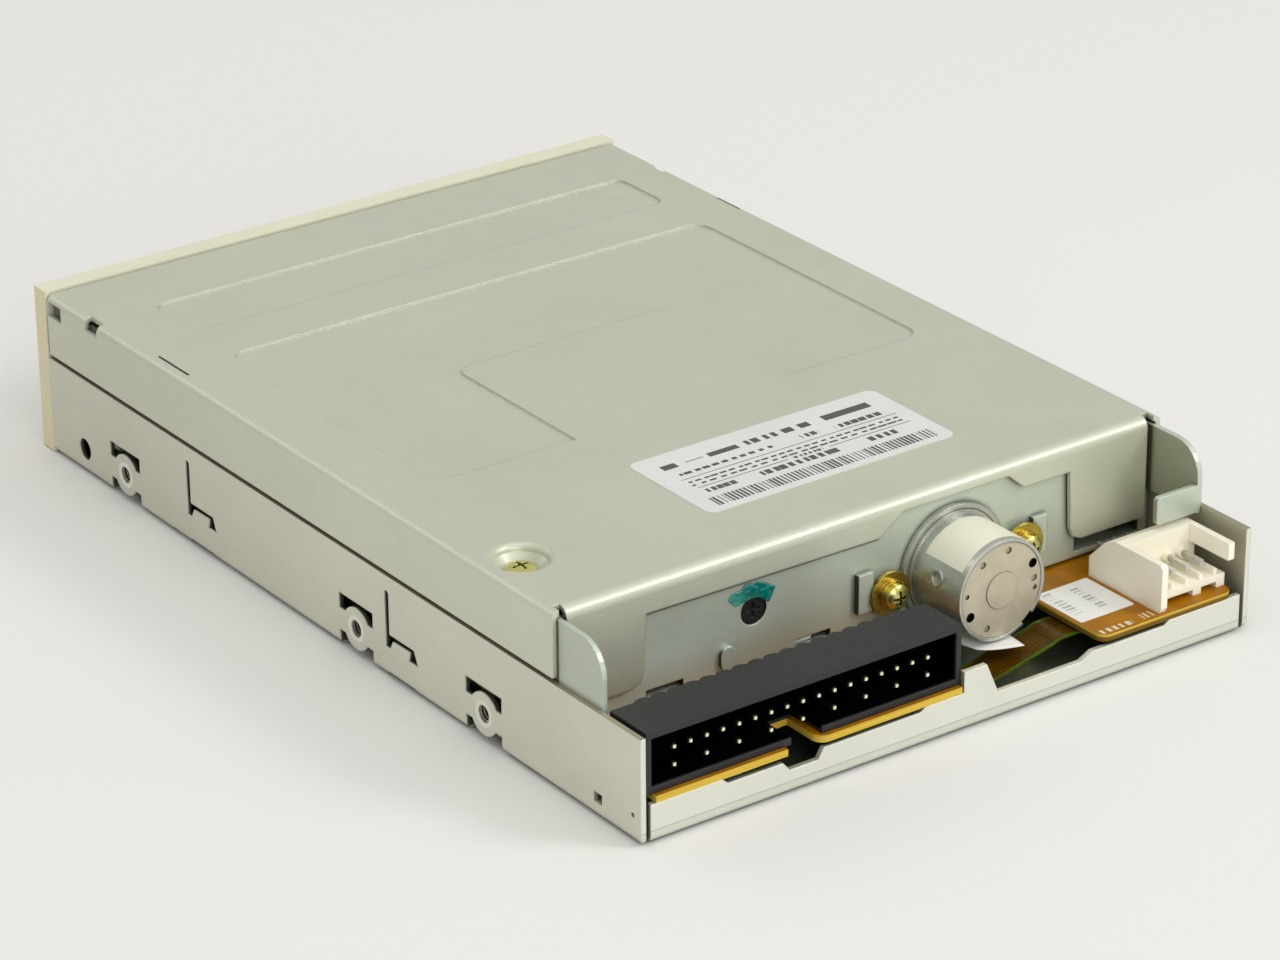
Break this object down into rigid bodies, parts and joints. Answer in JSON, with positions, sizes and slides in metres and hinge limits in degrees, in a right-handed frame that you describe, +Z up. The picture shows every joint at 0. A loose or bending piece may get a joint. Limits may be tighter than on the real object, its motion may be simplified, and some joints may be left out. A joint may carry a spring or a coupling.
{
  "type": "floppy disk drive",
  "caption": "Internal 3.5 inch floppy disk drive: flat steel case with a slot front, eject button, head stepper motor and rear data and power connectors.",
  "frame": {"origin": "under the middle of the drive, on the plane of the bottom sheet", "axes": "+Z up, front panel facing -Y, connectors at +Y, +X to the right seen from the front"},
  "size_m": [0.1016, 0.151, 0.0254],
  "materials": {
    "galvanised_steel": "satin galvanised sheet",
    "plated_steel": "bluish zinc plating",
    "bright_steel": "bright plated or ground steel",
    "ivory_plastic": "fine matt moulding",
    "black_plastic": "matt moulding",
    "white_plastic": "smooth nylon",
    "lamp_plastic": "clear tinted",
    "yellow_zinc": "yellow passivated zinc",
    "bearing_brass": "turned",
    "gold_contacts": "flash gold",
    "copper_wire": "enamelled copper winding",
    "ferrite": "moulded or sintered",
    "brown_board": "brown phenolic board",
    "green_board": "green lacquered board",
    "amber_film": "flexible film",
    "motor_cap": "warm nickel"
  },
  "bodies": {
    "base": {"base_frame": "galvanised_steel", "chassis": "plated_steel", "top_cover": "galvanised_steel", "bezel": "ivory_plastic", "door_spring": "bright_steel", "lamp_lens": "lamp_plastic", "indicator_lamp": "lamp_plastic", "slider_springs": "bright_steel", "lever_spring": "bright_steel", "motor_board": "green_board", "spindle_bush": "bearing_brass", "stator_core": "ferrite", "stator_coils": "copper_wire", "stepper_can": "bright_steel", "stepper_cap": "motor_cap", "screw_bearing": "white_plastic", "guide_rods": "bright_steel", "head_cable": "amber_film", "track_sensor": "black_plastic", "switch_block_left": "black_plastic", "switch_block_right": "black_plastic", "main_board": "brown_board", "board_chips": "black_plastic", "data_header": "black_plastic", "data_pins": "gold_contacts", "power_header": "white_plastic", "power_pins": "bright_steel", "motor_cable": "amber_film", "cover_screw": "yellow_zinc", "motor_screws": "yellow_zinc", "motor_washers": "yellow_zinc", "chassis_screws": "yellow_zinc", "wall_screw": "black_plastic"},
    "door": {"slot_door": "ivory_plastic"},
    "slider": {"eject_slider": "bright_steel", "eject_button": "ivory_plastic"},
    "holder": {"disk_holder": "bright_steel", "holder_pins": "bright_steel", "lever_pivot": "bearing_brass"},
    "lever": {"shutter_lever": "black_plastic"},
    "rotor": {"rotor_cup": "bright_steel", "rotor_magnet": "ferrite", "spindle_shaft": "bright_steel", "hub_plate": "bright_steel"},
    "drive_pin": {"drive_pin": "white_plastic"},
    "carriage": {"carriage": "black_plastic", "screw_needle": "bright_steel", "lower_head": "ferrite", "arm_pivot": "bright_steel"},
    "arm": {"head_arm": "black_plastic", "upper_head": "ferrite"},
    "screw": {"lead_screw": "bright_steel", "stepper_rotor": "ferrite"},
    "protect_plunger": {"protect_plunger": "white_plastic"},
    "disk_plunger": {"disk_plunger": "white_plastic"},
    "density_plunger": {"density_plunger": "white_plastic"}
  },
  "joints": [
    {"name": "door_swing", "type": "hinge", "parent": "base", "child": "door", "pos_m": [0, -0.07225, 0.0184], "axis": [-1, 0, 0], "range_deg": [-85, 0], "stiffness_Nm_per_rad": 0.003, "springref_deg": 11.46, "deforming": ["door_spring"]},
    {"name": "eject_slide", "type": "slide", "parent": "base", "child": "slider", "axis": [0, -1, 0], "range_m": [0, 0.005], "deforming": ["slider_springs"]},
    {"name": "holder_drop", "type": "slide", "parent": "base", "child": "holder", "axis": [0, 0, -1], "range_m": [0, 0.0028]},
    {"name": "lever_swing", "type": "hinge", "parent": "holder", "child": "lever", "pos_m": [-0.038, 0.02105, 0.0178], "axis": [0, 0, 1], "range_deg": [0, 70], "stiffness_Nm_per_rad": 0.002, "springref_deg": -17.19, "deforming": ["lever_spring"]},
    {"name": "spindle_spin", "type": "hinge", "parent": "base", "child": "rotor", "pos_m": [0, -0.02295, 0.008], "axis": [0, 0, 1], "continuous": true},
    {"name": "drive_pin_dip", "type": "slide", "parent": "rotor", "child": "drive_pin", "axis": [0, 0, -1], "range_m": [0, 0.0009], "stiffness_N_per_m": 200, "springref_m": -0.0005},
    {"name": "carriage_slide", "type": "slide", "parent": "base", "child": "carriage", "axis": [0, -1, 0], "range_m": [0, 0.0148], "deforming": ["head_cable"]},
    {"name": "screw_spin", "type": "hinge", "parent": "base", "child": "screw", "pos_m": [-0.0148, 0.03805, 0.0128], "axis": [0, 1, 0], "range_deg": [0, 1421]},
    {"name": "arm_drop", "type": "hinge", "parent": "carriage", "child": "arm", "pos_m": [0, 0.04355, 0.0164], "axis": [1, 0, 0], "range_deg": [0, 11.43]},
    {"name": "protect_press", "type": "slide", "parent": "base", "child": "protect_plunger", "axis": [0, 0, -1], "range_m": [0, 0.0012], "stiffness_N_per_m": 300, "springref_m": -0.0005},
    {"name": "disk_press", "type": "slide", "parent": "base", "child": "disk_plunger", "axis": [0, 0, -1], "range_m": [0, 0.0012], "stiffness_N_per_m": 300, "springref_m": -0.0005},
    {"name": "density_press", "type": "slide", "parent": "base", "child": "density_plunger", "axis": [0, 0, -1], "range_m": [0, 0.0012], "stiffness_N_per_m": 300, "springref_m": -0.0005}
  ],
  "couplings": [
    {"joint": "holder_drop", "follows": "eject_slide", "ratio": 0.56},
    {"joint": "arm_drop", "follows": "eject_slide", "rad_per_m": 39.874},
    {"joint": "screw_spin", "follows": "carriage_slide", "rad_per_m": 1675.5}
  ]
}
